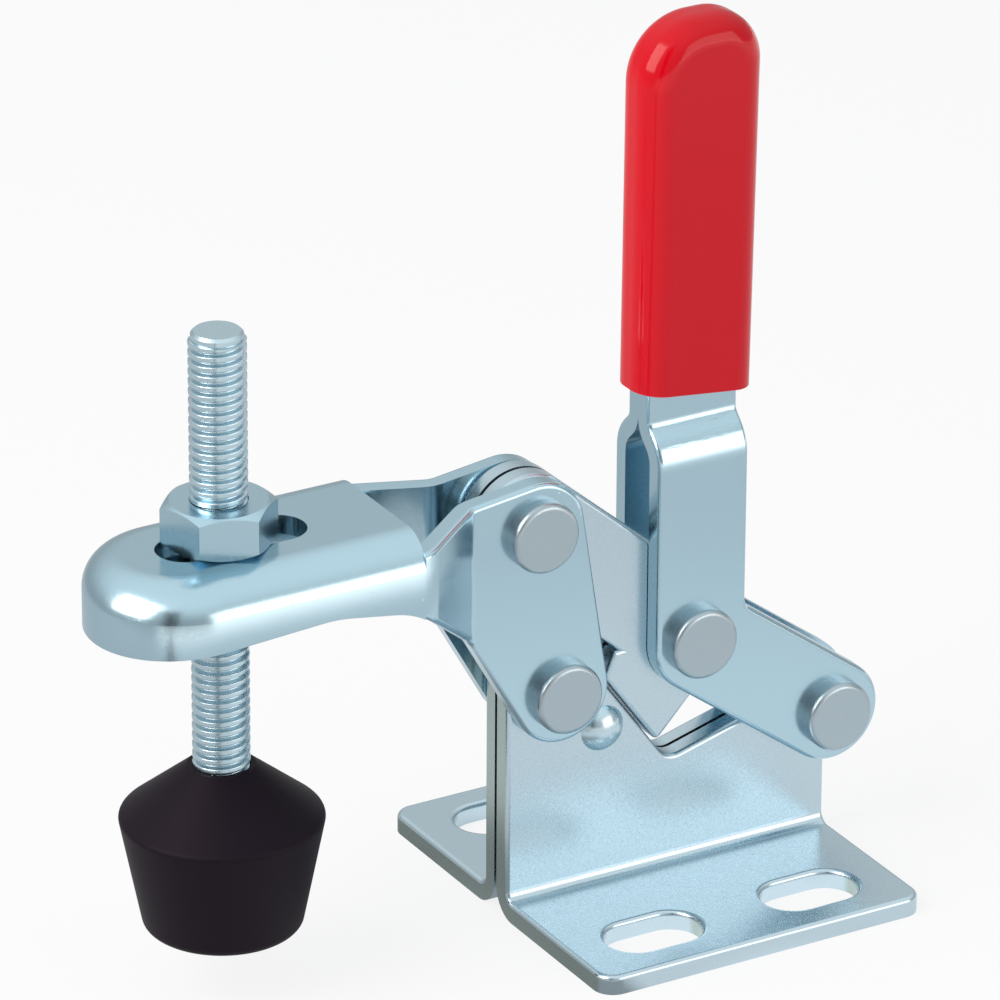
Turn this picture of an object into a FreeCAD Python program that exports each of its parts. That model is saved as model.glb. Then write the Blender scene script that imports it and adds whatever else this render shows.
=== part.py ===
import FreeCAD, Part
import math
import os
from FreeCAD import Vector

# Vertical-handle toggle clamp with a flanged base, clamped position, in millimetres.
# +X runs from the spindle to the rear, +Z up, and Y = 0 is the plane between the two base webs.
# The origin is the centre of the four mounting slots, on the surface that the base stands on.

# Sheet metal
sheet = 2.8             # thickness of the base, the links, the handle plates and the arm
web_gap = 0.6           # slit between the two inner layers
side_play = 0.15        # running gap between the inner and the outer layers
edge_round = 0.7        # rolled edge that the punch leaves on outer faces
inside_bend = 1.5       # inside radius of a sharp fold

# Base, two angle brackets back to back
base_length = 52.0
base_width = 60.0
flange_corner = 3.0
slot_length = 14.6
slot_width = 9.0
slot_from_end = 13.3    # from the flange's ends to the middles of the slots
slot_from_rim = 9.25    # and from its outer rim
slot_pitch_x = base_length - 2 * slot_from_end
slot_pitch_y = base_width - 2 * slot_from_rim
post_radius = 7.2       # round top of the front post, about the arm pivot
post_rear_round = 3.7   # between the post's top and the notch's flank
ear_radius = 6.6        # round ear about the handle pivot
notch_x, notch_z = 0.0, 18.6
notch_front_angle = 54.0
notch_rear_angle = 15.4
notch_radius = 3.0

# Pivots of the linkage, (x, z), clamped
arm_pivot_z = 34.4
arm_pivot = Vector(post_radius - base_length / 2, 0, arm_pivot_z)
link_arm_x, link_arm_z = -22.8, 59.7
link_handle_x, link_handle_z = 2.9, 37.7
handle_pivot_x, handle_pivot_z = 25.4, 21.1
link_arm_pivot = Vector(link_arm_x, 0, link_arm_z)
link_handle_pivot = Vector(link_handle_x, 0, link_handle_z)
handle_pivot = Vector(handle_pivot_x, 0, handle_pivot_z)

# Rivet pins
pin_radius = 2.75
pin_fit = 0.05          # radial clearance of a pin in its holes
head_radius = 5.15
head_height = 2.35
head_round = 0.8

# Dome rivet that joins the two webs
dome_x, dome_z = -10.75, 26.1
dome_radius = 3.4
dome_height = 1.9
dome_shank_radius = 1.6

# Links
link_radius = 7.5
stop_gap = 0.4          # between the link's tooth and the notch that stops it
tooth_tip = 3.6         # along the notch's front flank, from its foot
tooth_length = 14.6
tooth_tip_round = 0.8
tooth_neck_x, tooth_neck_z = -8.8, 37.3
window_fit = 0.3        # round the arm's pin, which wanders a little in the links

# Swing of the linkage: each turn for one degree of the handle, positive clockwise seen from -Y
handle_swing = 80.0
arm_ratio = 0.88
link_ratio = -0.5
swing_steps = 16

# Handle plates
plate_radius = 7.4      # round ends of the handle plates, about their pivots
handle_front_x = -3.7
handle_rear_x = 10.6
handle_top = 119.0
handle_top_round = 5.0
elbow_round = 2.0
joggle_low, joggle_high = 66.9, 70.1
joggle_low_round = 3.2  # inside radius of the lower bend
joggle_high_round = 1.6

# Grip, which leans a little and widens towards its top
grip_hem_front_x, grip_hem_front_z = -5.55, 75.4
grip_hem_rear_x, grip_hem_rear_z = 12.95, 73.2
grip_shoulder_front_x, grip_shoulder_rear_x = -5.15, 13.85
grip_top = 128.9
grip_front_round = 9.5
grip_rear_round = 7.5
grip_depth = 9.4
grip_round = 3.9
grip_fit = 0.05

# Clamp arm
arm_top = 66.7
arm_half_width = 13.0
arm_plate_radius = 7.3
nose_x = -75.2          # centre of the round nose
arm_shoulder = 5.0      # outside radius between the arm's top and its sides
top_end_x = -44.5       # rear end of the arm's top
facet_front_x = -43.3   # the sides fold in towards the webs from here
facet_rear_x = -33.2
facet_round = 2.0
side_edge_z = 64.3
nose_foot_z = 56.2      # the lower edge rises from here to its crest, then falls to the belly
crest_x, crest_z = -58.0, 57.9
crest_round = 20.0
heel_x, heel_z = -45.8, 55.9
heel_round = 12.0
belly_x, belly_z = -33.5, 45.4
belly_round = 6.0
arm_slot_front, arm_slot_rear = -74.1, -60.3
arm_slot_width = 8.4

# Spindle
spindle_x = -69.0
thread_radius = 3.97
thread_fit = 0.05
spindle_top = 97.5
point_radius = 3.6      # plain point above the thread
point_height = 1.2
spindle_chamfer = 0.4
nut_width = 14.0        # across the flats
nut_height = 6.3
nut_bevel = 0.3         # how far the bevel bites into each flat
nut_bevel_angle = 30.0
nut_turn = 43.0
lower_nut_turn = 12.0
lower_nut_height = 5.0
washer_room = 2.0       # between the washer and the arm's sides
washer_height = 1.4
bolt_head_width = 12.7
bolt_head_height = 5.3
bolt_head_z = 14.5

# Rubber cap
cap_foot_z = 9.3
cap_foot_radius = 10.9
cap_foot_round = 1.6
cap_rim_z = 25.9
cap_rim_radius = 14.2
cap_rim_round = 0.8
cap_neck_z = 33.6
cap_neck_radius = 4.7
cap_fit = 0.05

# Places of the layers, measured from Y = 0
inner_low = web_gap / 2
inner_high = inner_low + sheet
outer_low = inner_high + side_play
outer_high = outer_low + sheet
NEAR, FAR = -1, 1       # sides of the clamp, as the sign of Y


# Outlines

def on_plane(plane, u, v):
    """Point (u, v) of a plane as a point in space."""
    return {"xy": Vector(u, v, 0), "xz": Vector(u, 0, v), "yz": Vector(0, u, v)}[plane]


def normal(plane):
    return {"xy": Vector(0, 0, 1), "xz": Vector(0, 1, 0), "yz": Vector(1, 0, 0)}[plane]


def outline(plane, corners):
    """Face bounded by straight sides, each corner (u, v) or (u, v, radius) rounded by its radius."""
    stops = []
    for i, corner in enumerate(corners):
        here = Vector(corner[0], corner[1], 0)
        back = Vector(*corners[i - 1][:2], 0) - here
        ahead = Vector(*corners[(i + 1) % len(corners)][:2], 0) - here
        back.normalize()
        ahead.normalize()
        radius = corner[2] if len(corner) > 2 else 0
        half = back.getAngle(ahead) / 2
        reach = radius / math.tan(half)
        middle = here + (back + ahead).normalize() * (radius / math.sin(half) - radius) if radius else here
        turn = (here + back * reach, middle, here + ahead * reach)
        stops.append([on_plane(plane, p.x, p.y) for p in turn])
    edges = []
    for i, (start, middle, end) in enumerate(stops):
        if (end - start).Length > 1e-6:
            edges.append(Part.Arc(start, middle, end).toShape())
        following = stops[(i + 1) % len(stops)][0]
        if (following - end).Length > 1e-6:
            edges.append(Part.makeLine(end, following))
    return Part.Face(Part.Wire(edges))


def prism(plane, corners, low, high):
    """Solid with the given outline, between two distances from its plane."""
    face = outline(plane, corners)
    face.translate(normal(plane) * low)
    return face.extrude(normal(plane) * (high - low))


def bar_corners(start, end, radius):
    """Corners of a bar with round ends about two points."""
    along = (end - start).normalize()
    across = Vector(-along.y, along.x, 0)
    ends = [(start, -1, 1), (start, -1, -1), (end, 1, -1), (end, 1, 1)]
    points = [centre + (along * ahead + across * side) * radius for centre, ahead, side in ends]
    return [(p.x, p.y, radius) for p in points]


def flat(point):
    """A pivot's place in the side view, as a vector of that plane."""
    return Vector(point.x, point.z, 0)


def meet(point, direction, other, other_direction):
    """Where two lines of a plane cross."""
    offset = other - point
    spread = direction.x * other_direction.y - direction.y * other_direction.x
    reach = (offset.x * other_direction.y - offset.y * other_direction.x) / spread
    return point + direction * reach


def tangent(point, centre, radius, side):
    """Direction of the line through a point that touches a circle, which lies on its given side."""
    towards = centre - point
    turn = side * math.asin(radius / towards.Length)
    return Vector(towards.x * math.cos(turn) - towards.y * math.sin(turn),
                  towards.x * math.sin(turn) + towards.y * math.cos(turn), 0).normalize()


def folded_strip(plane, line, thickness, bends):
    """Corners of a sheet's edge. The line is one face of it, and the sheet is on the line's left."""
    points = [Vector(u, v, 0) for u, v in line]
    steps = [(b - a).normalize() for a, b in zip(points, points[1:])]
    lefts = [Vector(-step.y, step.x, 0) for step in steps]
    near_side = [(points[0].x, points[0].y)]
    first = points[0] + lefts[0] * thickness
    far_side = [(first.x, first.y)]
    for i in range(1, len(points) - 1):
        turn = steps[i - 1].x * steps[i].y - steps[i - 1].y * steps[i].x
        corner = meet(points[i - 1] + lefts[i - 1] * thickness, steps[i - 1],
                      points[i] + lefts[i] * thickness, steps[i])
        bend = bends[i - 1]
        wide = bend + abs(thickness)
        inside = turn * thickness > 0
        near_side.append((points[i].x, points[i].y, wide if inside else bend))
        far_side.append((corner.x, corner.y, bend if inside else wide))
    last = points[-1] + lefts[-1] * thickness
    near_side.append((points[-1].x, points[-1].y))
    far_side.append((last.x, last.y))
    return near_side + far_side[::-1]


def cross_pin(centre, radius, low, high):
    """Round bar across the clamp."""
    return Part.makeCylinder(radius, high - low, Vector(centre.x, low, centre.z), Vector(0, 1, 0))


def pin_hole(centre):
    return cross_pin(centre, pin_radius + pin_fit, -base_width, base_width)


def layer(side, corners, low, high):
    """Plate of the side view, between two distances from the middle plane, on one side of it."""
    return prism("xz", corners, *sorted((side * low, side * high)))


def roll_edges(shape, chosen):
    """Rounds the chosen edges as a punch rolls them."""
    return shape.makeFillet(edge_round, [edge for edge in shape.Edges if chosen(edge)])


def lies_at(axis, place, slack=1e-4):
    """Test for edges that lie wholly in the plane where one coordinate has a given value."""
    def test(edge):
        box = edge.BoundBox
        low, high = getattr(box, axis + "Min"), getattr(box, axis + "Max")
        return abs(low - place) < slack and abs(high - place) < slack
    return test


# Pieces of the base

def heading(degrees):
    """Direction in the side view, counted from +X towards +Z."""
    return Vector(math.cos(math.radians(degrees)), math.sin(math.radians(degrees)), 0)


def web_side_view():
    """Side view of a base web: front post, notch for the link's tooth, and the rear post."""
    notch = Vector(notch_x, notch_z, 0)
    front = heading(180 - notch_front_angle)
    rear = heading(notch_rear_angle)
    half = base_length / 2
    post_top = arm_pivot_z + post_radius
    level = Vector(1, 0, 0)
    front_top = meet(notch, front, Vector(0, post_top, 0), level)
    rear_top = meet(notch, rear, Vector(half, 0, 0), Vector(0, 1, 0))
    return [(-half, 0), (half, 0), (half, rear_top.y), (notch_x, notch_z, notch_radius),
            (front_top.x, front_top.y, post_rear_round), (-half, post_top, post_radius)]


def base_bracket(side):
    half = base_length / 2
    reach = handle_pivot.x + ear_radius
    fold = [(side * inner_high, arm_pivot_z + post_radius), (side * inner_high, sheet),
            (side * base_width / 2, sheet)]
    thickness = side * -sheet
    angle = prism("yz", folded_strip("yz", fold, thickness, [inside_bend]), -half, reach)
    side_view = prism("xz", web_side_view(), -base_width, base_width)
    side_view = side_view.fuse(cross_pin(handle_pivot, ear_radius, -base_width, base_width))
    bracket = angle.common(side_view).removeSplitter()
    rim = lies_at("Y", side * base_width / 2)
    ends = [lies_at("X", x) for x in (-half, half)]
    corners = [edge for edge in bracket.Edges if rim(edge) and any(end(edge) for end in ends)]
    bracket = bracket.makeFillet(flange_corner, corners)
    web_face, fold_line = lies_at("Y", side * inner_high), lies_at("Z", sheet + inside_bend)
    ear_front = handle_pivot.x - ear_radius
    bracket = roll_edges(bracket, lambda edge: web_face(edge) and not fold_line(edge)
                         and edge.BoundBox.Center.x < ear_front)
    reach_of_slot = (slot_length - slot_width) / 2
    for x in (-slot_pitch_x / 2, slot_pitch_x / 2):
        centre = Vector(x, side * slot_pitch_y / 2, 0)
        ends = [centre + Vector(step, 0, 0) for step in (-reach_of_slot, reach_of_slot)]
        bracket = bracket.cut(prism("xy", bar_corners(*ends, slot_width / 2), -sheet, 2 * sheet))
    for pivot in (arm_pivot, handle_pivot):
        bracket = bracket.cut(pin_hole(pivot))
    rivet_hole = cross_pin(Vector(dome_x, 0, dome_z), dome_shank_radius + pin_fit, -base_width, base_width)
    bracket = bracket.cut(rivet_hole)
    return roll_edges(bracket, lies_at("Z", sheet))


def rivet_pin(centre):
    """Pin with a flat head, its rim rounded, on each outer plate."""
    shape = cross_pin(centre, pin_radius, -outer_high, outer_high)
    for side in (NEAR, FAR):
        low, high = sorted((side * outer_high, side * (outer_high + head_height)))
        head = cross_pin(centre, head_radius, low, high)
        rim = [edge for edge in head.Edges if lies_at("Y", side * (outer_high + head_height))(edge)]
        shape = shape.fuse(head.makeFillet(head_round, rim))
    return shape.removeSplitter()


def web_rivet():
    """Dome-headed rivet through the two webs."""
    centre = Vector(dome_x, 0, dome_z)
    ball = (dome_radius ** 2 + dome_height ** 2) / (2 * dome_height)
    shape = cross_pin(centre, dome_shank_radius, -inner_high, inner_high)
    for side in (NEAR, FAR):
        sunk = side * (inner_high + dome_height - ball)
        low, high = sorted((side * inner_high, side * (inner_high + dome_height)))
        cap = Part.makeSphere(ball, Vector(dome_x, sunk, dome_z))
        shape = shape.fuse(cap.common(cross_pin(centre, dome_radius, low, high)))
    return shape.removeSplitter()


# Pieces of the linkage

def swung(point, centre, degrees):
    """Point of the side view, turned clockwise about a centre."""
    angle = math.radians(degrees)
    arm = point - centre
    return centre + Vector(arm.x * math.cos(angle) + arm.y * math.sin(angle),
                           arm.y * math.cos(angle) - arm.x * math.sin(angle), 0)


def arm_pin_path():
    """Places that the arm's pin takes in the links, which turn about the handle's pin."""
    arm_end, handle_end = flat(link_arm_pivot), flat(link_handle_pivot)
    places = []
    for step in range(swing_steps + 1):
        turn = handle_swing * step / swing_steps
        arm_now = swung(arm_end, flat(arm_pivot), arm_ratio * turn)
        handle_now = swung(handle_end, flat(handle_pivot), turn)
        places.append(swung(arm_now - handle_now + handle_end, handle_end, -link_ratio * turn))
    return places


def link_plate(side):
    start, end = flat(link_arm_pivot), flat(link_handle_pivot)
    along = (end - start).normalize()
    across = Vector(-along.y, along.x, 0)
    up_flank = heading(180 - notch_front_angle)
    off_flank = Vector(up_flank.y, -up_flank.x, 0)
    foot = Vector(notch_x, notch_z, 0) + off_flank * stop_gap
    tip = foot + up_flank * tooth_tip
    shoulder = tip + up_flank * tooth_length
    rear_edge = tangent(tip, end, link_radius, -1)
    touch = tip + rear_edge * math.sqrt((end - tip).Length ** 2 - link_radius ** 2)
    tooth = [(tip.x, tip.y, tooth_tip_round), (touch.x, touch.y), (end.x, end.y),
             (tooth_neck_x, tooth_neck_z), (shoulder.x, shoulder.y, tooth_tip_round)]
    plate = layer(side, bar_corners(start, end, link_radius), inner_low, inner_high)
    plate = plate.fuse(layer(side, tooth, inner_low, inner_high)).removeSplitter()
    plate = roll_edges(plate, lies_at("Y", side * inner_high))
    plate = plate.cut(pin_hole(link_handle_pivot))
    path = arm_pin_path()
    for begin, target in zip(path, path[1:]):
        room = bar_corners(begin, target, pin_radius + window_fit)
        plate = plate.cut(layer(side, room, 0, outer_high))
    return plate.removeSplitter()


def handle_plate(side):
    corner, end = flat(link_handle_pivot), flat(handle_pivot)
    along = (end - corner).normalize()
    across = Vector(-along.y, along.x, 0) * plate_radius
    upright = Vector(0, 1, 0)
    heel = meet(corner - across, along, Vector(handle_front_x, 0, 0), upright)
    elbow = meet(corner + across, along, Vector(handle_rear_x, 0, 0), upright)
    tail = end + along * plate_radius
    side_view = [(handle_front_x, handle_top, handle_top_round), (heel.x, heel.y, plate_radius),
                 ((tail - across).x, (tail - across).y, plate_radius),
                 ((tail + across).x, (tail + across).y, plate_radius),
                 (elbow.x, elbow.y, elbow_round), (handle_rear_x, handle_top, handle_top_round)]
    foot_z = handle_pivot.z - 2 * plate_radius
    line = [(side * outer_high, foot_z), (side * outer_high, joggle_low),
            (side * sheet, joggle_high), (side * sheet, handle_top)]
    thickness = side * sheet
    bends = [joggle_low_round, joggle_high_round]
    rear_x = handle_pivot.x + plate_radius
    strip = prism("yz", folded_strip("yz", line, thickness, bends), handle_front_x, rear_x)
    plate = strip.common(prism("xz", side_view, -base_width, base_width)).removeSplitter()
    outer_face = lies_at("Y", side * outer_high)
    plate = roll_edges(plate, lambda edge: outer_face(edge) and edge.BoundBox.ZLength > 1e-4)
    for pivot in (link_handle_pivot, handle_pivot):
        plate = plate.cut(pin_hole(pivot))
    return plate.removeSplitter()


def handle_grip():
    """Dipped sleeve over both handle plates, with a rounded end."""
    side_view = [(grip_hem_front_x, grip_hem_front_z), (grip_hem_rear_x, grip_hem_rear_z),
                 (grip_shoulder_rear_x, grip_top, grip_rear_round),
                 (grip_shoulder_front_x, grip_top, grip_front_round)]
    body = prism("xz", side_view, -grip_depth / 2, grip_depth / 2)
    rims = [edge for edge in body.Edges
            if edge.BoundBox.YLength < 1e-4 and edge.BoundBox.ZMax > grip_hem_front_z + 1e-4]
    body = body.makeFillet(grip_round, rims)
    pocket = Part.makeBox(handle_rear_x - handle_front_x + 2 * grip_fit, 2 * (sheet + grip_fit),
                          handle_top + grip_fit, Vector(handle_front_x - grip_fit, -sheet - grip_fit, 0))
    return body.cut(pocket)


def clamp_arm():
    """Drawn arm: a closed channel at the nose whose sides fold in to straddle the links and webs."""
    def channel(inset, low, high, shoulder):
        nose = Vector(nose_x, 0, 0)
        half = arm_half_width - inset
        plan = [(top_end_x, -half), (top_end_x, half),
                (nose_x - half, half, half), (nose_x - half, -half, half)]
        body = prism("xy", plan, low, high)
        upper = [edge for edge in body.Edges
                 if lies_at("Z", high)(edge) and not lies_at("X", top_end_x)(edge)]
        return body.makeFillet(shoulder, upper)

    shell = channel(0, belly_z, arm_top, arm_shoulder)
    shell = shell.cut(channel(sheet, belly_z - sheet, arm_top - sheet, arm_shoulder - sheet))
    front_end = nose_x - arm_half_width
    lower_edge = [(front_end, nose_foot_z), (crest_x, crest_z, crest_round), (heel_x, heel_z, heel_round)]
    shell_view = [(front_end, arm_top)] + lower_edge + [(belly_x, belly_z), (belly_x, arm_top)]
    arm = shell.common(prism("xz", shell_view, -base_width, base_width))
    upper, lower = flat(link_arm_pivot), flat(arm_pivot)
    down = (lower - upper).normalize()
    rearward = Vector(-down.y, down.x, 0) * arm_plate_radius
    edge_start = Vector(top_end_x, side_edge_z, 0)
    belly = Vector(belly_x, belly_z, 0)
    top_edge = tangent(edge_start, upper, arm_plate_radius, 1)
    front_edge = tangent(belly, lower, arm_plate_radius, -1)
    top_rear = meet(edge_start, top_edge, upper + rearward, down)
    foot = meet(belly, front_edge, upper + rearward, down)
    joint_x = top_end_x - arm_shoulder
    joint_z = arm_top - arm_shoulder
    side_view = [(front_end, joint_z)] + lower_edge
    side_view += [(belly_x, belly_z, belly_round), (foot.x, foot.y, arm_plate_radius),
                  (top_rear.x, top_rear.y, arm_plate_radius), (edge_start.x, edge_start.y),
                  (top_end_x, joint_z)]
    for side in (NEAR, FAR):
        line = [(joint_x, side * arm_half_width), (facet_front_x, side * arm_half_width),
                (facet_rear_x, side * outer_high), (0, side * outer_high)]
        folds = folded_strip("xy", line, -side * sheet, [facet_round, facet_round])
        strip = prism("xy", folds, 0, 2 * arm_top)
        arm = arm.fuse(strip.common(prism("xz", side_view, -base_width, base_width)))
    ends = [Vector(x, 0, 0) for x in (arm_slot_front, arm_slot_rear)]
    slot = bar_corners(*ends, arm_slot_width / 2)
    arm = arm.cut(prism("xy", slot, arm_top - 2 * sheet, arm_top + sheet))
    arm = arm.removeSplitter()
    arm = roll_edges(arm, lambda edge: abs(abs(edge.BoundBox.Center.y) - outer_high) < 1e-4
                     and edge.BoundBox.YLength < 1e-4 and edge.BoundBox.XMax > facet_rear_x + edge_round)
    for pivot in (link_arm_pivot, arm_pivot):
        arm = arm.cut(pin_hole(pivot))
    return arm


# Pieces of the spindle

def turned(profile):
    """Body of revolution about the spindle, from its (radius, height) profile."""
    points = [Vector(spindle_x + radius, 0, z) for radius, z in profile]
    face = Part.Face(Part.makePolygon(points + points[:1]))
    return face.revolve(Vector(spindle_x, 0, 0), Vector(0, 0, 1), 360)


def hexagon(width, low, high, turn):
    radius = width / math.sqrt(3)
    corners = [(spindle_x + radius * math.cos(math.radians(turn + 60 * k)),
                radius * math.sin(math.radians(turn + 60 * k))) for k in range(6)]
    return prism("xy", corners, low, high)


def nut(base_z, height, turn):
    """Hexagon nut, chamfered on both faces."""
    top_z = base_z + height
    inner = nut_width / 2 - nut_bevel
    outer = nut_width / math.sqrt(3) + nut_bevel
    slope = (outer - inner) * math.tan(math.radians(nut_bevel_angle))
    profile = [(0, base_z), (inner, base_z), (outer, base_z + slope),
               (outer, top_z - slope), (inner, top_z), (0, top_z)]
    body = hexagon(nut_width, base_z, top_z, turn).common(turned(profile))
    return body.cut(spindle_hole(base_z, top_z))


def spindle_hole(low, high):
    """Clearance round the thread, cut right through between two heights."""
    start = Vector(spindle_x, 0, low - sheet)
    return Part.makeCylinder(thread_radius + thread_fit, high - low + 2 * sheet, start)


def spindle_bolt(fit=0):
    """Bolt with its head down, held in the rubber cap."""
    radius = thread_radius + fit
    top = spindle_top + fit
    point = point_radius + fit
    shoulder = top - point_height
    shank = turned([(0, bolt_head_z), (radius, bolt_head_z), (radius, shoulder - (radius - point)),
                    (point, shoulder), (point, top - spindle_chamfer), (point - spindle_chamfer, top),
                    (0, top)])
    head = hexagon(bolt_head_width + 2 * fit, bolt_head_z - fit, bolt_head_z + bolt_head_height + fit, 0)
    return shank.fuse(head).removeSplitter()


def lower_washer():
    base_z = arm_top - sheet - washer_height
    radius = arm_half_width - sheet - washer_room
    disc = Part.makeCylinder(radius, washer_height, Vector(spindle_x, 0, base_z))
    return disc.cut(spindle_hole(base_z, base_z + washer_height))


def rubber_cap():
    """Double-cone cap moulded round the bolt's head."""
    cap = turned([(0, cap_foot_z), (cap_foot_radius, cap_foot_z), (cap_rim_radius, cap_rim_z),
                  (cap_neck_radius, cap_neck_z), (0, cap_neck_z)])
    foot = [edge for edge in cap.Edges if lies_at("Z", cap_foot_z)(edge)]
    cap = cap.makeFillet(cap_foot_round, foot)
    rim = [edge for edge in cap.Edges if lies_at("Z", cap_rim_z)(edge)]
    cap = cap.makeFillet(cap_rim_round, rim)
    return cap.cut(spindle_bolt(cap_fit))


pieces = {
    "base_bracket_near": base_bracket(NEAR),
    "base_bracket_far": base_bracket(FAR),
    "web_rivet": web_rivet(),
    "arm_pivot_pin": rivet_pin(arm_pivot),
    "handle_pivot_pin": rivet_pin(handle_pivot),
    "link_arm_pin": rivet_pin(link_arm_pivot),
    "link_handle_pin": rivet_pin(link_handle_pivot),
    "link_plate_near": link_plate(NEAR),
    "link_plate_far": link_plate(FAR),
    "handle_plate_near": handle_plate(NEAR),
    "handle_plate_far": handle_plate(FAR),
    "handle_grip": handle_grip(),
    "clamp_arm": clamp_arm(),
    "spindle_bolt": spindle_bolt(),
    "upper_nut": nut(arm_top, nut_height, nut_turn),
    "lower_washer": lower_washer(),
    "lower_nut": nut(arm_top - sheet - washer_height - lower_nut_height, lower_nut_height, lower_nut_turn),
    "rubber_cap": rubber_cap(),
}

os.makedirs("parts", exist_ok=True)
for name, shape in pieces.items():
    solid = shape.Solids[0]
    print(name, "solids", len(shape.Solids), "valid", shape.isValid(), "volume", round(shape.Volume, 1))
    solid.exportStep("parts/" + name + ".step")
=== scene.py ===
# %% [markdown]
# # A vertical-handle toggle clamp, dressed for a picture
#
# The clamp is pressed from steel sheet, riveted together and plated with bright zinc.
# Its solids come from the CAD model, already at their real size and in metres.
# This lesson gives them their real finishes, cuts the thread that the solids leave out,
# and sets up the floor, the lamps and the camera.

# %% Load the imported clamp
import math

import bpy
from mathutils import Matrix, Vector


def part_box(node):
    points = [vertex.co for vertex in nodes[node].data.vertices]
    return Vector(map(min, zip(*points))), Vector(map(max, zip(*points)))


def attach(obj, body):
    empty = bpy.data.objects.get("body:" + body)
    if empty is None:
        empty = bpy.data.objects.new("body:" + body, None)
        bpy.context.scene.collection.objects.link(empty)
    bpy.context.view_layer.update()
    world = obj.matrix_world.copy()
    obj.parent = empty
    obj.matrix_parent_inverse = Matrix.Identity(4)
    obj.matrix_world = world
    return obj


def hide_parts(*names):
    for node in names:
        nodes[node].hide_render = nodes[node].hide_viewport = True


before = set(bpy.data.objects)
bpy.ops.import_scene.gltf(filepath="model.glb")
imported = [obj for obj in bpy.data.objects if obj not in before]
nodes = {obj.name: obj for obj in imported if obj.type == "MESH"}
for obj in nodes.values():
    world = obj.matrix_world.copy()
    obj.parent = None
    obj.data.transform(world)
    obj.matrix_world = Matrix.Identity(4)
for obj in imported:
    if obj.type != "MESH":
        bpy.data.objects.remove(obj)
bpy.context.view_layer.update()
MM = 0.001


# %% [markdown]
# Two helpers carry the whole file. Hex colours are written as a screen shows them, and the
# renderer needs them linear, so one function turns them. The other adds a node to a tree, sets
# it up and links it, for materials, the world and Geometry Nodes alike. Most nodes here are
# sums and ranges, so their long names are kept once.

# %% Helpers
MATH, VECTOR_MATH = "ShaderNodeMath", "ShaderNodeVectorMath"
RANGE, MIX = "ShaderNodeMapRange", "ShaderNodeMix"
SMOOTH = "SMOOTHSTEP"


def colour(hex_code):
    """A screen colour such as #B4CEDB as linear red, green, blue and alpha."""
    channels = [int(hex_code[i:i + 2], 16) / 255 for i in (1, 3, 5)]
    linear = [c / 12.92 if c <= 0.04045 else ((c + 0.055) / 1.055) ** 2.4 for c in channels]
    return (*linear, 1.0)


def add(tree, kind, inputs=(), **settings):
    """Adds a node, applies its settings, then links or sets its inputs.
    The inputs are a list in the node's own order, or a dictionary by name. A node that is given
    as an input is linked by its first output in use."""
    node = tree.nodes.new(kind)
    for name, value in settings.items():
        setattr(node, name, value)
    pairs = inputs.items() if isinstance(inputs, dict) else enumerate(inputs)
    for key, value in pairs:
        if isinstance(value, bpy.types.Node):
            value = next(output for output in value.outputs if output.enabled)
        if isinstance(value, bpy.types.NodeSocket):
            tree.links.new(value, node.inputs[key])
        else:
            node.inputs[key].default_value = value
    return node


print("Mid grey comes out as", round(colour("#808080")[0], 3))

# %% [markdown]
# ## The camera
#
# The picture was taken from over a metre away with a long lens, so upright edges stay
# almost parallel. The camera stands in front of the clamp, turned 30 degrees towards its nose
# and 25 degrees above it. Its place is worked out from those angles, which is easier to check
# than a typed matrix.

# %% Camera
LOOK_AT = Vector((-25.56, 0.0, 63.0)) * MM
DISTANCE = 1108 * MM
TURN, TILT, ROLL = math.radians(-30.17), math.radians(90 - 24.59), math.radians(0.31)
SENSOR_MM, LENS_MM = 36.0, 292.25
NEAREST, FARTHEST = 0.05, 20.0       # metres
axes = Matrix.Rotation(TURN, 4, "Z") @ Matrix.Rotation(TILT, 4, "X") @ Matrix.Rotation(ROLL, 4, "Z")

camera_data = bpy.data.cameras.new("camera")
camera_data.sensor_width, camera_data.lens = SENSOR_MM, LENS_MM
camera_data.clip_start, camera_data.clip_end = NEAREST, FARTHEST
camera = bpy.data.objects.new("camera", camera_data)
camera.matrix_world = Matrix.Translation(LOOK_AT + axes.to_3x3() @ Vector((0, 0, DISTANCE))) @ axes
bpy.context.scene.collection.objects.link(camera)
bpy.context.scene.camera = camera
print("Camera at", [round(v, 3) for v in camera.location])

# %% [markdown]
# ## The floor
#
# Plated steel is a mirror with a soft edge: it has no look of its own and shows the room.
# So the camera sees a plain white floor, and what the metal sees of it is set apart: painted
# light and shade. Far off to the front right it is a painted warm glow, brighter than white,
# which draws the white bands along bent and rolled edges. Close by it is painted a little
# brighter, under the arm it has painted shade for the clamp's own shade, and under the base it is
# painted brighter still, where only the slots show it. A narrow painted dark strip lies in front,
# a little to the left, and with a dark band painted into the room above it draws the upright
# dark line on the rounded nose.
#
# Painted boards would do the same, but a few named ranges are easier to steer. Each gives
# where a level starts and ends changing, in metres, and its value at either end.

# %% Floor
bpy.context.scene.view_settings.view_transform = "Standard"
REACH = 4.0
FLOOR_GLOW = 0.84                           # share of the floor's light that is its own
WARM_WHITE = (1.0, 0.87, 0.81, 1.0)
# Painted light and shade on the floor, which only the metal's reflections show
UNDER_BASE = (0.024, 0.034, 1.35, 1.0)      # from the middle of the base, and the next two
OWN_SHADE = (0.042, 0.056, 0.35, 1.0)
CLOSE_BY = (0.06, 0.14, 1.05, 0.80)
BESIDE_BASE = (-0.025, -0.018, 0.0, 1.0)    # along X, where the painted shade under the arm ends
TO_FRONT_RIGHT = (0.6, -0.8, 0.0)
LIT_SIDE = (-0.10, 0.08, 0.0, 1.0)          # along the line to the front right
DIM_SIDE_LEVEL = 0.80
FAR_OFF, FAR_OFF_LEVELS = (0.18, 0.60), (1.0, 2.3)
DARK_BAND_AHEAD = (-0.61, -0.79, 0.0)          # from the nose to the painted dark band
DARK_BAND_SIDE = (0.79, -0.61, 0.0)            # square to that
NOSE_AHEAD, NOSE_SIDE = 0.059, -0.058       # the nose along both
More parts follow.
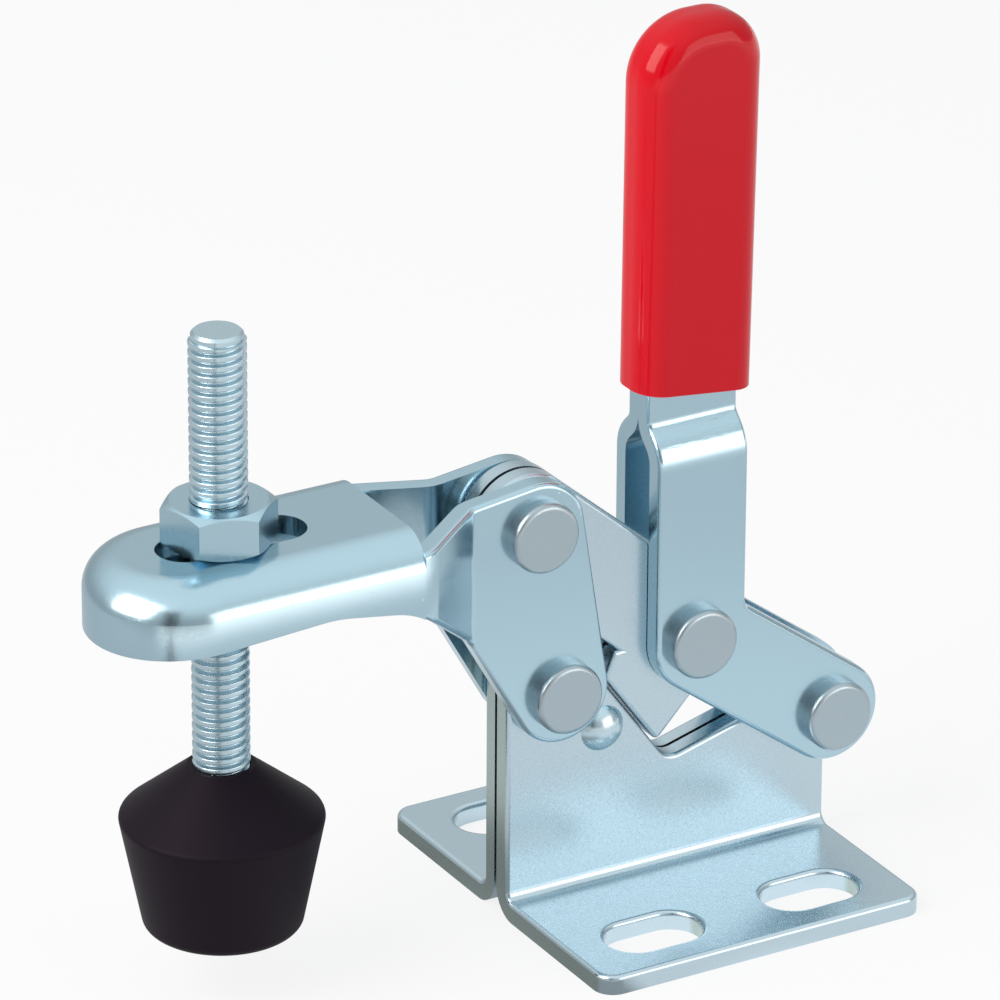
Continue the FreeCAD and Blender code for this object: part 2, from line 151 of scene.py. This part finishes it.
STRIP_EDGE = (0.006, 0.020, 0.0, 1.0)       # from the painted dark strip's middle line
STRIP_START = (NOSE_AHEAD + 0.04, NOSE_AHEAD + 0.07, 1.0, 0.0)

floor_mesh = bpy.data.meshes.new("floor")
corners = [(-REACH, -REACH, 0), (REACH, -REACH, 0), (REACH, REACH, 0), (-REACH, REACH, 0)]
floor_mesh.from_pydata(corners, [], [(0, 1, 2, 3)])
floor = bpy.data.objects.new("floor", floor_mesh)
bpy.context.scene.collection.objects.link(floor)

paint = bpy.data.materials.new("matt_white_floor")
paint.use_nodes = True
tree = paint.node_tree
tree.nodes.clear()
rays = add(tree, "ShaderNodeLightPath").outputs
mirrored = rays["Is Glossy Ray"]
shown = add(tree, MATH, [mirrored, rays["Is Camera Ray"]], operation="MAXIMUM")
spot = add(tree, "ShaderNodeNewGeometry").outputs["Position"]
away = add(tree, VECTOR_MATH, [spot, (0.0, 0.0, 0.0)], operation="DISTANCE")

# Painted shade under the arm, for the clamp's own shade
own_shade = add(tree, RANGE, [away, *OWN_SHADE], interpolation_type=SMOOTH)
along_x = add(tree, VECTOR_MATH, [spot, (1.0, 0.0, 0.0)], operation="DOT_PRODUCT")
beside_base = add(tree, RANGE, [along_x, *BESIDE_BASE], interpolation_type=SMOOTH)
own_shade = add(tree, MATH, [own_shade, beside_base], operation="MAXIMUM")
# A painted pool of light close to the clamp, and a painted brighter floor under the base, seen in the slots
close_by = add(tree, RANGE, [away, *CLOSE_BY], interpolation_type=SMOOTH)
under_base = add(tree, RANGE, [away, *UNDER_BASE], interpolation_type=SMOOTH)

# A painted warm glow far off to the front right, which draws the white bands on bent edges
to_front_right = add(tree, VECTOR_MATH, [spot, TO_FRONT_RIGHT], operation="DOT_PRODUCT")
front_right = add(tree, RANGE, [to_front_right, *LIT_SIDE], interpolation_type=SMOOTH)
far_off = add(tree, RANGE, [away, *FAR_OFF, *FAR_OFF_LEVELS], interpolation_type=SMOOTH)
lit_side = add(tree, MIX, {"Factor": front_right, "A": DIM_SIDE_LEVEL, "B": far_off})

# A painted dark strip on the floor, in front on the left, under the dark band painted into the room
across = add(tree, VECTOR_MATH, [spot, DARK_BAND_SIDE], operation="DOT_PRODUCT")
across = add(tree, MATH, [across, NOSE_SIDE], operation="SUBTRACT")
across = add(tree, MATH, [across], operation="ABSOLUTE")
beside_strip = add(tree, RANGE, [across, *STRIP_EDGE], interpolation_type=SMOOTH)
ahead = add(tree, VECTOR_MATH, [spot, DARK_BAND_AHEAD], operation="DOT_PRODUCT")
behind_strip = add(tree, RANGE, [ahead, *STRIP_START], interpolation_type=SMOOTH)
off_strip = add(tree, MATH, [beside_strip, behind_strip], operation="MAXIMUM")

# The painted levels reach glossy rays only: the camera sees the floor plain white
level = own_shade
for factor in (close_by, lit_side, under_base, off_strip):
    level = add(tree, MATH, [level, factor], operation="MULTIPLY")
level = add(tree, MIX, {"Factor": mirrored, "A": 1.0, "B": level})
# The painted glow far off is warm
warmth = add(tree, RANGE, [away, *FAR_OFF, 0.0, 1.0], interpolation_type=SMOOTH)
for factor in (front_right, mirrored):
    warmth = add(tree, MATH, [warmth, factor], operation="MULTIPLY")
tint = add(tree, MIX, {"Factor": warmth, "A": (1, 1, 1, 1), "B": WARM_WHITE}, data_type="RGBA")
lit = add(tree, "ShaderNodeBsdfDiffuse", {"Color": colour("#EFF4FA")})
glowing = add(tree, "ShaderNodeEmission", {"Color": tint, "Strength": level})
share = add(tree, MATH, [shown, FLOOR_GLOW], operation="MULTIPLY")
add(tree, "ShaderNodeOutputMaterial", {"Surface": add(tree, "ShaderNodeMixShader", [share, lit, glowing])})
floor_mesh.materials.append(paint)
print("Floor reaches", REACH, "m each way")

# %% [markdown]
# ## The world
#
# The room is a pale studio that gets lighter towards its ceiling, and tops and sloped faces
# mirror it. A dark band is painted into the room here, standing up from the painted strip on
# the floor, where a dark screen would stand. Matt surfaces get less of this light than mirrors
# do, which keeps the rubber dark, and the camera itself sees white.

# %% World
SKY = (0.15, 0.90, 0.55, 1.18)              # over the height of a direction
DARK_BAND_EDGE = (0.06, 0.20, 0.12, 1.0)       # from the painted dark band's middle line
DARK_BAND_BACK = (0.0, 0.2, 1.0, 0.0)          # ahead, where the dark band's side of the room starts
DARK_BAND_TOP = (0.55, 0.80, 0.0, 1.0)         # over the height of a direction
MATT_LEVEL = 0.55

world = bpy.data.worlds.new("pale_studio")
bpy.context.scene.world = world
world.use_nodes = True
tree = world.node_tree
tree.nodes.clear()
rays = add(tree, "ShaderNodeLightPath").outputs
towards = add(tree, "ShaderNodeTexCoord").outputs["Generated"]
height = add(tree, "ShaderNodeSeparateXYZ", [towards]).outputs["Z"]
# A dark band painted into the room, in front on the left, standing up from the painted strip
across = add(tree, VECTOR_MATH, [towards, DARK_BAND_SIDE], operation="DOT_PRODUCT")
across = add(tree, MATH, [across], operation="ABSOLUTE")
off_dark_band = add(tree, RANGE, [across, *DARK_BAND_EDGE], interpolation_type=SMOOTH)
ahead = add(tree, VECTOR_MATH, [towards, DARK_BAND_AHEAD], operation="DOT_PRODUCT")
behind = add(tree, RANGE, [ahead, *DARK_BAND_BACK], interpolation_type=SMOOTH)
above = add(tree, RANGE, [height, *DARK_BAND_TOP], interpolation_type=SMOOTH)
for clear in (behind, above):
    off_dark_band = add(tree, MATH, [off_dark_band, clear], operation="MAXIMUM")
strength = add(tree, RANGE, [height, *SKY], interpolation_type=SMOOTH)
matt = add(tree, MIX, {"Factor": rays["Is Diffuse Ray"], "A": 1.0, "B": MATT_LEVEL})
for factor in (off_dark_band, matt):
    strength = add(tree, MATH, [strength, factor], operation="MULTIPLY")
room = add(tree, "ShaderNodeBackground", {"Color": colour("#F6F8F8"), "Strength": strength})
white = add(tree, "ShaderNodeBackground", {"Color": (1, 1, 1, 1), "Strength": 1.0})
seen = add(tree, "ShaderNodeMixShader", [rays["Is Camera Ray"], room, white])
add(tree, "ShaderNodeOutputWorld", {"Surface": seen})
# The dark screen printed here is the band painted into the room, not an object
print("World:", len(tree.nodes), "nodes, with a dark screen in front on the left")

# %% [markdown]
# ## The lamps
#
# Two soft boxes light the clamp. The one on the left is high and gives the white spot on the
# nose. The one on the right is low and weaker, and draws the band across the handle's bend.
# Small lamps would do it too, but plated metal would show them as hard dots.

# %% Lamps
LAMP_DISTANCE = 0.8
LAMPS = {  # direction from the clamp, width and height in metres, power in watts
    "key_left": ((-0.82, -0.02, 0.58), 0.60, 0.60, 5.6),
    "fill_right": ((0.46, -0.83, 0.22), 0.60, 0.42, 1.7),
}
for name, (side, width, tall, power) in LAMPS.items():
    lamp_data = bpy.data.lights.new(name, "AREA")
    lamp_data.shape, lamp_data.size, lamp_data.size_y = "RECTANGLE", width, tall
    lamp_data.energy, lamp_data.color = power, WARM_WHITE[:3]
    lamp = bpy.data.objects.new(name, lamp_data)
    outwards = Vector(side).normalized()
    lamp.location = LOOK_AT + outwards * LAMP_DISTANCE
    lamp.rotation_euler = outwards.to_track_quat("Z", "Y").to_euler()
    bpy.context.scene.collection.objects.link(lamp)
    print(name, "at", [round(v, 2) for v in lamp.location])

# %% [markdown]
# ## Bright zinc plating
#
# The sheet parts are cold-rolled steel, pressed and then zinc plated with a clear blue
# passivate. The plating follows the rolled sheet, so flat faces are not quite flat: a slight
# waviness a few millimetres across softens what they mirror, and a finer grain gives a bloom.
# The real grain is too fine to show here, so it is drawn as coarse as it needs to be. Small
# nicks catch the light, because the parts tumble together in the plating barrel.
#
# The colour is the metal's own, so it is set on the shader's base colour with metallic at one.
# Two of the pressings need more. Bending leaves a fine ripple on the handle plates, and
# drawing leaves the arm's walls slightly crowned. The solids keep both faces plain, and a bump
# is enough to turn what they mirror. Punched edges are greyer, as the punch leaves them rough,
# and their tint also holds painted shade, for the dim floor they mirror.

# %% Metals
NICK_SPACING, NICK_DEPTH = 2.6 * MM, 0.02 * MM
NICK_RIM = (0.02, 0.06, -1.0, 0.0)          # from a nick's middle, in spacings, and its level
GRAIN_RANGE, ROUGHNESS_RANGE = (0.3, 0.7), (0.85, 1.15)
RIPPLE_SIZE, RIPPLE_HEIGHT = 0.5 * MM, 0.035 * MM
RIPPLE_STRETCH = (0.18, 1.0, 1.0)           # the ripple runs along X
RIPPLE_FADE = 0.7                           # share of the half band before it fades
CUT_FACE = (0.90, 0.98)                     # how squarely a punched edge faces along X
CROWN_REST = 0.2                            # share of the crown that goes on past the wall


def bumped(tree, height, distance, relief=None):
    """One more layer of relief on top of the layers below."""
    below = {"Normal": relief} if relief else {}
    return add(tree, "ShaderNodeBump", {"Height": height, "Strength": 1.0, "Distance": distance, **below})


def press_ripple(tree, place, relief, low, high):
    """The ripple that a bending tool leaves between two heights in mm."""
    middle, half = (low + high) / 2 * MM, (high - low) / 2 * MM
    drawn_out = add(tree, "ShaderNodeMapping", {"Vector": place, "Scale": RIPPLE_STRETCH})
    ripple = add(tree, "ShaderNodeTexNoise", {"Vector": drawn_out, "Scale": 1 / RIPPLE_SIZE, "Detail": 2.0})
    height = add(tree, "ShaderNodeSeparateXYZ", [place]).outputs["Z"]
    offset = add(tree, MATH, [height, middle], operation="SUBTRACT")
    offset = add(tree, MATH, [offset], operation="ABSOLUTE")
    band = add(tree, RANGE, [offset, half * RIPPLE_FADE, half, 1.0, 0.0])
    marks = add(tree, MATH, [ripple, band], operation="MULTIPLY")
    return bumped(tree, marks, RIPPLE_HEIGHT, relief)


def wall_crown(tree, place, relief, low, high, slope, front, rear):
    """The crown of a drawn wall: between two heights in mm it leans in, up to a slope. It fades
    between two places along X, in mm."""
    spot = add(tree, "ShaderNodeSeparateXYZ", [place]).outputs
    rise = add(tree, MATH, [spot["Z"], 1 / (high - low) / MM, -low / (high - low)], operation="MULTIPLY_ADD")
    rise = add(tree, MATH, [rise, 0.0], operation="MAXIMUM")
    curved = add(tree, MATH, [rise, 1.0], operation="MINIMUM")
    beyond = add(tree, MATH, [rise, curved], operation="SUBTRACT")
    straight = add(tree, MATH, [beyond, 2.0], operation="MULTIPLY")
    bulge = add(tree, MATH, [curved, curved, straight], operation="MULTIPLY_ADD")
    crowned = bumped(tree, bulge, -slope * (high - low) / 2 * MM, relief)
    wall = add(tree, RANGE, [spot["X"], front * MM, rear * MM, 1.0, CROWN_REST], interpolation_type=SMOOTH)
    return add(tree, MIX, {"Factor": wall, "A": relief, "B": crowned}, data_type="VECTOR")


def metal_finish(name, hex_code, roughness, wave_size, grain_size, edge_hex=None, ripple=None,
                 crown=None):
    """A plated or ground metal with waviness, grain and nicks.
    wave_size and grain_size are each a width and a height in mm. edge_hex tints the punched
    edges that face forward or back. ripple and crown are for press_ripple and wall_crown."""
    material = bpy.data.materials.new(name)
    material.use_nodes = True
    tree = material.node_tree
    tree.nodes.clear()
    where = add(tree, "ShaderNodeTexCoord").outputs
    place = where["Object"]
    wave_width, wave_height = [size * MM for size in wave_size]
    grain_width, grain_height = [size * MM for size in grain_size]
    wave = add(tree, "ShaderNodeTexNoise", {"Vector": place, "Scale": 1 / wave_width, "Detail": 2.0})
    grain = add(tree, "ShaderNodeTexNoise", {"Vector": place, "Scale": 1 / grain_width, "Detail": 3.0})
    nick = add(tree, "ShaderNodeTexVoronoi", {"Vector": place, "Scale": 1 / NICK_SPACING})
    pit = add(tree, RANGE, [nick.outputs["Distance"], *NICK_RIM])
    relief = bumped(tree, wave, wave_height)
    relief = bumped(tree, grain, grain_height, relief)
    relief = bumped(tree, pit, NICK_DEPTH, relief)
    if crown:
        relief = wall_crown(tree, place, relief, **crown)
    if ripple:
        relief = press_ripple(tree, place, relief, **ripple)
    base = colour(hex_code)
    if edge_hex:
        # The punched edges' tint: greyer for their rough finish, and darker as painted shade
        facing = add(tree, "ShaderNodeSeparateXYZ", [where["Normal"]]).outputs
        side_on = add(tree, MATH, [facing["X"]], operation="ABSOLUTE")
        cut = add(tree, RANGE, [side_on, *CUT_FACE])
        base = add(tree, MIX, {"Factor": cut, "A": base, "B": colour(edge_hex)}, data_type="RGBA")
    soft = add(tree, RANGE, [grain, *GRAIN_RANGE, *[roughness * share for share in ROUGHNESS_RANGE]])
    shader = add(tree, "ShaderNodeBsdfPrincipled", {"Base Color": base, "Metallic": 1.0,
                 "Roughness": soft, "Normal": relief})
    add(tree, "ShaderNodeOutputMaterial", {"Surface": shader})
    return material


ZINC = "#AECBD8"
SHEET_WAVE, SHEET_GRAIN = (6.0, 0.010), (0.5, 0.0006)
JOGGLE_RIPPLE = {"low": 67.2, "high": 70.4}
ARM_CROWN = {"low": 55.0, "high": 62.0, "slope": 0.24, "front": -46.0, "rear": -37.0}

# Zinc plating on rolled sheet: a smooth blue-white mirror, slightly blurred
sheet = metal_finish("bright_zinc_plated_sheet", ZINC, 0.22, SHEET_WAVE, SHEET_GRAIN)
# The base's and the links' punched sheet: paler and duller, with edges greyed by the punch and by painted
# shade
punching = metal_finish("bright_zinc_plated_punched_sheet", "#BACED8", 0.26, SHEET_WAVE, (0.5, 0.0003),
                        edge_hex="#A5B6B3")
# The handle's bent strips: glossy, with a ruffled band of light along the bend
bent_sheet = metal_finish("bright_zinc_plated_bent_sheet", ZINC, 0.21, SHEET_WAVE, SHEET_GRAIN,
                          edge_hex="#ABC9D6", ripple=JOGGLE_RIPPLE)
# The drawn arm: wavier, and its crowned walls pick up light from higher in the room
drawn_sheet = metal_finish("bright_zinc_plated_drawn_sheet", ZINC, 0.21, (7.0, 0.014), SHEET_GRAIN,
                           crown=ARM_CROWN)
# A thread rolled between dies, then plated: whiter, and even along its crests
rolled_thread = metal_finish("zinc_plated_rolled_thread", "#BFD6E0", 0.26, (3.0, 0.003), (0.4, 0.0004))
# Rivet ends of ground bare steel: grey and satin
ground_steel = metal_finish("ground_steel_rivet_end", "#A6B6BE", 0.34, (3.0, 0.006), (0.25, 0.0012))
for metal in (sheet, punching, bent_sheet, drawn_sheet, rolled_thread, ground_steel):
    print(metal.name, len(metal.node_tree.nodes), "nodes")

# %% [markdown]
# ## Rubber and dipped vinyl
#
# The cap is moulded black rubber with a slight purple bloom from its wax, and a matt skin.
# The handle is dipped in hot red vinyl, which runs smooth and cures glossy, with a faint
# orange-peel. Both are plain plastics to the shader: no metal, and a normal IOR.

# %% Rubber and vinyl
PLASTIC_IOR = 1.45


def plastic_finish(name, hex_code, roughness, shine, relief_mm, relief_height_mm):
    """A rubber or plastic skin with one fine relief, its size and height in mm."""
    material = bpy.data.materials.new(name)
    material.use_nodes = True
    tree = material.node_tree
    tree.nodes.clear()
    place = add(tree, "ShaderNodeTexCoord").outputs["Object"]
    peel = add(tree, "ShaderNodeTexNoise", {"Vector": place, "Scale": 1 / (relief_mm * MM), "Detail": 2.0})
    relief = bumped(tree, peel, relief_height_mm * MM)
    shader = add(tree, "ShaderNodeBsdfPrincipled", {"Base Color": colour(hex_code), "Metallic": 0.0,
                 "Roughness": roughness, "IOR": PLASTIC_IOR, "Specular IOR Level": shine, "Normal": relief})
    add(tree, "ShaderNodeOutputMaterial", {"Surface": shader})
    return material


# Moulded rubber: near black, with a wide dull sheen
moulded_rubber = plastic_finish("moulded_black_rubber", "#120916", 0.55, 0.16, 0.6, 0.004)
# Dipped vinyl: a clean red with a wet gloss, and highlights that waver a little
dipped_vinyl = plastic_finish("dipped_red_vinyl", "#CE031B", 0.13, 0.34, 5.0, 0.012)
print("Plastics:", moulded_rubber.name, dipped_vinyl.name)

# %% [markdown]
# ## Dressing the solids
#
# The CAD names its material slots, so a piece gets its finish by the slot's name, and a piece
# that is added later is dressed as well. Some pieces of one slot still look different: each
# pressing was made in its own way, and the nuts and the washer are smoother than the thread.
# Those go by the start of the piece's own name.

# %% Dress the solids
SLOT_FINISH = {
    "zinc_plate": sheet,
    "zinc_thread": rolled_thread,
    "ground_steel": ground_steel,
    "black_rubber": moulded_rubber,
    "red_vinyl": dipped_vinyl,
}
PIECE_FINISH = {
    "handle_plate": bent_sheet,
    "base_bracket": punching,
    "link_plate": punching,
    "clamp_arm": drawn_sheet,
    "upper_nut": sheet,
    "lower_nut": sheet,
    "lower_washer": sheet,
}


def finish_for(name, slot):
    """A piece's own finish where it has one, or else that of its slot."""
    own = [finish for start, finish in PIECE_FINISH.items() if name.startswith(start)]
    slot_name = slot.material.name.split(".")[0] if slot.material else "zinc_plate"
    return own[0] if own else SLOT_FINISH.get(slot_name, sheet)


for name, piece in nodes.items():
    for slot in piece.material_slots:
        slot.material = finish_for(name, slot)
        print(name, "is", slot.material.name)

# %% [markdown]
# ## The spindle's thread
#
# The spindle is a bolt with a 5/16 inch coarse thread, 18 turns to the inch, rolled between
# dies, so its crests and roots are rounded. A thread is a rule, radius against height and
# angle, so Geometry Nodes make it: a flat grid of rows and columns is wrapped round the axis
# and each point's radius follows the rule. The first and last rows shrink to the axis and
# close the ends. A curve with a swept profile would make the flanks too, but its crossing
# turns are harder to close into one solid.

# %% Thread tree
FLANK = (0.10, 0.62, 0.0, 1.0)      # from a root's middle to a crest's, and how far up it is
ROW_MARGIN = 0.4                    # share of a row, to tell the outermost one
MERGE_DISTANCE = 0.001 * MM


def thread_tree():
    """A closed rod about the Z axis with a rolled thread, from named sizes."""
    tree = bpy.data.node_groups.new("rolled_thread", "GeometryNodeTree")
    face = tree.interface
    for name in ("Radius", "Depth", "Pitch", "Low", "High", "Point Radius", "Point Height", "Chamfer",
                 "Axis X"):
        face.new_socket(name, in_out="INPUT", socket_type="NodeSocketFloat")
    for name in ("Columns", "Rows"):
        face.new_socket(name, in_out="INPUT", socket_type="NodeSocketInt")
    face.new_socket("Finish", in_out="INPUT", socket_type="NodeSocketMaterial")
    face.new_socket("Rod", in_out="OUTPUT", socket_type="NodeSocketGeometry")
    size = add(tree, "NodeGroupInput").outputs

    # A grid one unit across, whose rows overshoot the rod by one at either end
    grid = add(tree, "GeometryNodeMeshGrid", {"Size X": 1.0, "Size Y": 1.0,
               "Vertices X": size["Columns"], "Vertices Y": size["Rows"]})
    place = add(tree, "ShaderNodeSeparateXYZ", [add(tree, "GeometryNodeInputPosition")]).outputs
    along = add(tree, MATH, [place["Y"], 0.5], operation="ADD")
    step = add(tree, MATH, [1.0, size["Rows"]], operation="DIVIDE")
    stretch = add(tree, MATH, [step, 2.0, 1.0], operation="MULTIPLY_ADD")
    share = add(tree, MATH, [along, stretch], operation="MULTIPLY")
    share = add(tree, MATH, [share, step], operation="SUBTRACT")
    share = add(tree, "ShaderNodeClamp", [share, 0.0, 1.0])
    length = add(tree, MATH, [size["High"], size["Low"]], operation="SUBTRACT")
    height = add(tree, MATH, [share, length, size["Low"]], operation="MULTIPLY_ADD")

    # The thread's form: how far up its flank a point is, from the root to the crest
    turns = add(tree, MATH, [height, size["Pitch"]], operation="DIVIDE")
    turns = add(tree, MATH, [turns, place["X"]], operation="SUBTRACT")
    wave = add(tree, MATH, [turns, 0.5], operation="PINGPONG")
    wave = add(tree, MATH, [wave, 2.0], operation="MULTIPLY")
    form = add(tree, RANGE, [wave, *FLANK], interpolation_type=SMOOTH)
    root = add(tree, MATH, [size["Radius"], size["Depth"]], operation="SUBTRACT")
    flank = add(tree, MATH, [form, size["Depth"], root], operation="MULTIPLY_ADD")

    # The plain point at the top, with its chamfer
    left = add(tree, MATH, [size["High"], height], operation="SUBTRACT")
    chamfered = add(tree, MATH, [size["Point Radius"], size["Chamfer"]], operation="SUBTRACT")
    cone = add(tree, MATH, [left, chamfered], operation="ADD")
    at_point = add(tree, MATH, [left, size["Point Height"]], operation="LESS_THAN")
    shank = add(tree, MIX, {"Factor": at_point, "A": flank, "B": size["Point Radius"]})
    radius = add(tree, MATH, [shank, cone], operation="MINIMUM")

    # The outermost row at either end shrinks to the axis
    from_middle = add(tree, MATH, [along, 0.5], operation="SUBTRACT")
    from_middle = add(tree, MATH, [from_middle], operation="ABSOLUTE")
    last_row = add(tree, MATH, [step, -ROW_MARGIN, 0.5], operation="MULTIPLY_ADD")
    open_row = add(tree, MATH, [from_middle, last_row], operation="LESS_THAN")
    radius = add(tree, MATH, [radius, open_row], operation="MULTIPLY")

    angle = add(tree, MATH, [place["X"], 2 * math.pi], operation="MULTIPLY")
    cosine = add(tree, MATH, [angle], operation="COSINE")
    sine = add(tree, MATH, [angle], operation="SINE")
    east = add(tree, MATH, [cosine, radius, size["Axis X"]], operation="MULTIPLY_ADD")
    north = add(tree, MATH, [sine, radius], operation="MULTIPLY")
    spot = add(tree, "ShaderNodeCombineXYZ", [east, north, height])
    wrapped = add(tree, "GeometryNodeSetPosition", {"Geometry": grid, "Position": spot})
    closed = add(tree, "GeometryNodeMergeByDistance", {"Geometry": wrapped, "Distance": MERGE_DISTANCE})
    real = add(tree, "GeometryNodeRealizeInstances", {"Geometry": closed})
    dressed = add(tree, "GeometryNodeSetMaterial", {"Geometry": real, "Material": size["Finish"]})
    add(tree, "NodeGroupOutput", {"Rod": dressed})
    return tree


thread = thread_tree()
print("Thread tree:", len(thread.nodes), "nodes")

# %% [markdown]
# The tree runs once on an empty object, and the result is kept as a plain mesh: the modifier
# goes with its host. The rod starts inside the bolt's head. Its columns give each turn 40
# faces and its rows give each pitch about 25, enough for a round crest in a close picture.

# %% Cut the spindle
COLUMNS, ROWS = 41, 1400
THREAD = {
    "Radius": 3.97 * MM, "Depth": 0.64 * MM, "Pitch": 25.4 / 18 * MM,
    "Point Radius": 3.6 * MM, "Point Height": 1.2 * MM, "Chamfer": 0.4 * MM,
}
START_IN_HEAD = 3 * MM
SHARP_ANGLE = math.radians(35)


def grown(name, tree, values):
    """Runs a Geometry Nodes tree with its named inputs and keeps the result as a plain mesh."""
    host = bpy.data.objects.new(name + "_host", bpy.data.meshes.new(name + "_host"))
    bpy.context.scene.collection.objects.link(host)
    modifier = host.modifiers.new("nodes", "NODES")
    modifier.node_group = tree
    ids = {item.name: item.identifier for item in tree.interface.items_tree if item.in_out == "INPUT"}
    for key, value in values.items():
        modifier[ids[key]] = value
    evaluated = host.evaluated_get(bpy.context.evaluated_depsgraph_get())
    mesh = bpy.data.meshes.new_from_object(evaluated)
    bpy.data.objects.remove(host)
    mesh.name = name
    piece = bpy.data.objects.new(name, mesh)
    bpy.context.scene.collection.objects.link(piece)
    return piece


low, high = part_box("spindle_bolt")
spindle_x = (low.x + high.x) / 2
spindle = grown("threaded_spindle", thread, {
    **THREAD, "Low": low.z + START_IN_HEAD, "High": high.z, "Axis X": spindle_x,
    "Columns": COLUMNS, "Rows": ROWS, "Finish": rolled_thread,
})
spindle.data.shade_smooth()
spindle.data.set_sharp_from_angle(angle=SHARP_ANGLE)
print("Spindle triangles:", sum(len(p.vertices) - 2 for p in spindle.data.polygons))

# %% [markdown]
# The bolt's hexagon head sits in the rubber cap and can't be seen, but the solid that stands
# for it is hidden with the rest of the bolt, so the spindle gets a head of the same size. Six
# sides need no nodes: the head is a ring of corners, drawn twice and closed.

# %% Bolt head
HEAD_FLATS, HEAD_HEIGHT = 12.7 * MM, 5.3 * MM
SIDES = 6
half_side = math.pi / SIDES
corner = HEAD_FLATS / 2 / math.cos(half_side)
ring = [(spindle_x + corner * math.cos(2 * half_side * i), corner * math.sin(2 * half_side * i))
        for i in range(SIDES)]
points = [(x, y, z) for z in (low.z, low.z + HEAD_HEIGHT) for x, y in ring]
ends = [tuple(reversed(range(SIDES))), tuple(range(SIDES, 2 * SIDES))]
flats = [(i, (i + 1) % SIDES, (i + 1) % SIDES + SIDES, i + SIDES) for i in range(SIDES)]
head_mesh = bpy.data.meshes.new("spindle_head")
head_mesh.from_pydata(points, [], ends + flats)
head_mesh.materials.append(rolled_thread)
head = bpy.data.objects.new("spindle_head", head_mesh)
bpy.context.scene.collection.objects.link(head)
for piece in (spindle, head):
    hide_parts("spindle_bolt")
    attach(piece, "arm")
print("Head", round(HEAD_FLATS / MM, 1), "mm across flats")
